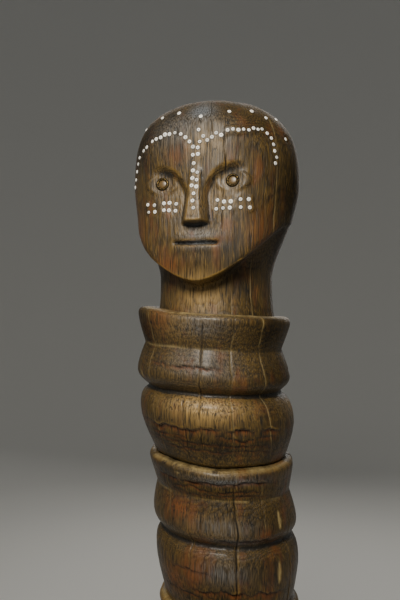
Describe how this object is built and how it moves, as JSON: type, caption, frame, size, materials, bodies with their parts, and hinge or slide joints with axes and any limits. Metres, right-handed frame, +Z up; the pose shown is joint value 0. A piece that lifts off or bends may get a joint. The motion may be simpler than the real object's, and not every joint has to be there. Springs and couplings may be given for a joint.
{
  "type": "carved ancestor figure",
  "caption": "Tall carved wooden post with a mask-like head, a neck and a stack of waisted and rounded rings over a plain foot, inlaid with rows of small white beads.",
  "frame": {"origin": "centre of the sawn underside of the foot, where the post stands", "axes": "+Z up along the log, -Y the way the face looks, +X the figure's own left"},
  "size_m": [0.2133, 0.2107, 1.4],
  "materials": {
    "dark_wood": "hand-carved dense hardwood, dark waxed patina, satin",
    "white_glass": "opaque white drawn glass, gloss worn to satin",
    "dark_mastic": "dark plant resin mixed with soot, dull",
    "aged_brass": "old brass, brown tarnish with worn bright rim",
    "pale_horn": "polished pale horn, slightly yellow"
  },
  "bodies": {
    "root": {"carved_post": "dark_wood", "brow_beads_left": "white_glass", "brow_beads_right": "white_glass", "temple_beads_left": "white_glass", "temple_beads_right": "white_glass", "forehead_beads": "white_glass", "nose_beads": "white_glass", "crown_beads": "white_glass", "cheek_beads_left": "white_glass", "cheek_beads_right": "white_glass", "brow_mastic_left": "dark_mastic", "brow_mastic_right": "dark_mastic", "temple_mastic_left": "dark_mastic", "temple_mastic_right": "dark_mastic", "forehead_mastic": "dark_mastic", "nose_mastic": "dark_mastic", "crown_mastic": "dark_mastic", "cheek_mastic_left": "dark_mastic", "cheek_mastic_right": "dark_mastic", "eye_ring_left": "aged_brass", "eye_ring_right": "aged_brass", "eye_plug_left": "pale_horn", "eye_plug_right": "pale_horn", "eye_mastic_left": "dark_mastic", "eye_mastic_right": "dark_mastic"}
  },
  "joints": []
}
